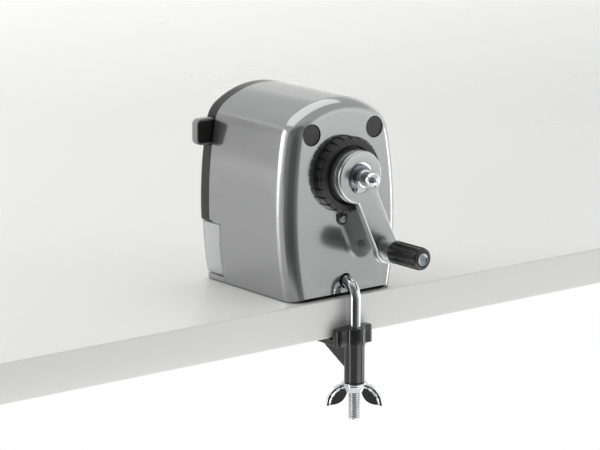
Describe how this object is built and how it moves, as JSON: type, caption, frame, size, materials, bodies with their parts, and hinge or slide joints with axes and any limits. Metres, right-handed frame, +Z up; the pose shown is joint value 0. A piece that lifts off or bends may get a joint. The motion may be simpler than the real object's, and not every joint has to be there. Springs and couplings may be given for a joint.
{
  "type": "pencil sharpener",
  "caption": "Hand-crank pencil sharpener with a helical cutter, spring-fed pencil carriage, clear shavings drawer, point adjuster and a screw table clamp.",
  "frame": {"origin": "centre of the casing's footprint on the table top", "axes": "+Z up, -Y towards the crank, +Y towards the pencil opening, +X to the right when facing the crank"},
  "size_m": [0.0816, 0.1109, 0.1573],
  "materials": {
    "casing_paint": "metallic silver-grey lacquer, gloss",
    "base_rubber": "matt soft pad",
    "black_plastic": "fine moulded texture",
    "knob_plastic": "satin",
    "carriage_plastic": "gloss",
    "pad_plastic": "satin",
    "clear_plastic": "clear polystyrene",
    "arm_metal": "silver lacquer, satin",
    "chrome": "polished plate",
    "steel": "plain bright steel",
    "cutter_steel": "ground tool steel",
    "brass": "turned brass"
  },
  "bodies": {
    "casing": {"casing_shell": "casing_paint", "base_plate": "casing_paint", "base_pad": "base_rubber", "guide_plug_left": "black_plastic", "guide_plug_right": "black_plastic", "index_plate": "black_plastic", "index_screw": "steel", "shaft_bush": "brass", "ring_gear": "steel", "gear_screws": "steel", "rear_bulkhead": "steel", "frame_posts": "casing_paint", "frame_screws": "steel", "guide_tube_left": "steel", "guide_tube_right": "steel", "clamp_socket": "casing_paint"},
    "bearing_sleeve": {"bearing_sleeve": "steel"},
    "adjuster": {"adjuster_ring": "black_plastic"},
    "crank": {"drive_shaft": "chrome", "carrier_hub": "steel", "carrier_bars": "steel", "carrier_ring": "steel", "cutter_pin": "steel", "crank_arm": "arm_metal", "shaft_circlip": "steel", "knob_axle": "chrome"},
    "cutter": {"helical_cutter": "cutter_steel", "cutter_pinion": "brass"},
    "knob": {"crank_knob": "knob_plastic"},
    "carriage": {"carriage_plate": "carriage_plastic", "jaw_cover": "carriage_plastic", "cover_screws": "steel", "pencil_guide": "black_plastic", "centring_post": "steel", "guide_rod_left": "steel", "guide_rod_right": "steel", "feed_spring_left": "steel", "feed_spring_right": "steel", "clamp_spring": "steel"},
    "left_clamp": {"left_slider": "steel", "left_finger_pad": "pad_plastic", "left_jaw": "steel"},
    "right_clamp": {"right_slider": "steel", "right_finger_pad": "pad_plastic", "right_jaw": "steel"},
    "centring_gear": {"centring_pinion": "brass"},
    "drawer": {"shavings_drawer": "clear_plastic"},
    "clamp_rod": {"clamp_rod": "chrome"},
    "clamp_jaw": {"clamp_bracket": "black_plastic", "bracket_pad": "base_rubber", "clamp_washer": "chrome"},
    "wing_nut": {"wing_nut": "chrome"}
  },
  "joints": [
    {"name": "depth_slide", "type": "slide", "parent": "casing", "child": "bearing_sleeve", "axis": [0, -1, 0], "range_m": [0, 0.0015]},
    {"name": "adjuster_turn", "type": "hinge", "parent": "casing", "child": "adjuster", "pos_m": [0, -0.03532, 0.0603], "axis": [0, -1, 0], "range_deg": [0, 150]},
    {"name": "crank_turn", "type": "hinge", "parent": "bearing_sleeve", "child": "crank", "pos_m": [0, -0.03532, 0.0603], "axis": [0, 1, 0], "continuous": true},
    {"name": "cutter_spin", "type": "hinge", "parent": "crank", "child": "cutter", "pos_m": [0, -0.02446, 0.0659], "axis": [0, 0.9816, 0.1908], "continuous": true},
    {"name": "knob_spin", "type": "hinge", "parent": "crank", "child": "knob", "pos_m": [0.01749, -0.06, 0.02245], "axis": [0, 1, 0], "continuous": true},
    {"name": "carriage_pull", "type": "slide", "parent": "casing", "child": "carriage", "axis": [0, 1, 0], "range_m": [0, 0.032], "stiffness_N_per_m": 60, "springref_m": -0.03, "deforming": ["feed_spring_left", "feed_spring_right"]},
    {"name": "left_pad_press", "type": "slide", "parent": "carriage", "child": "left_clamp", "axis": [1, 0, 0], "range_m": [0, 0.0042], "stiffness_N_per_m": 400, "springref_m": -0.004, "deforming": ["clamp_spring"]},
    {"name": "right_pad_press", "type": "slide", "parent": "carriage", "child": "right_clamp", "axis": [-1, 0, 0], "range_m": [0, 0.0042]},
    {"name": "centring_turn", "type": "hinge", "parent": "carriage", "child": "centring_gear", "pos_m": [0, 0.0316, 0.0755], "axis": [0, -1, 0], "range_deg": [0, 100.5]},
    {"name": "drawer_pull", "type": "slide", "parent": "casing", "child": "drawer", "axis": [0, 1, 0], "range_m": [0, 0.055]},
    {"name": "rod_pull", "type": "slide", "parent": "casing", "child": "clamp_rod", "axis": [0, -1, 0], "range_m": [0, 0.02]},
    {"name": "jaw_travel", "type": "slide", "parent": "clamp_rod", "child": "clamp_jaw", "axis": [0, 0, 1], "range_m": [-0.008, 0.008]},
    {"name": "wing_nut_turn", "type": "hinge", "parent": "clamp_jaw", "child": "wing_nut", "pos_m": [0, -0.0435, -0.045], "axis": [0, 0, 1], "range_deg": [-2880.01, 2880.01]}
  ],
  "couplings": [
    {"joint": "adjuster_turn", "follows": "depth_slide", "rad_per_m": 1745.3},
    {"joint": "cutter_spin", "follows": "crank_turn", "ratio": -2.4},
    {"joint": "right_pad_press", "follows": "left_pad_press", "ratio": 1},
    {"joint": "centring_turn", "follows": "left_pad_press", "rad_per_m": 416.67},
    {"joint": "wing_nut_turn", "follows": "jaw_travel", "rad_per_m": 6283.2}
  ]
}
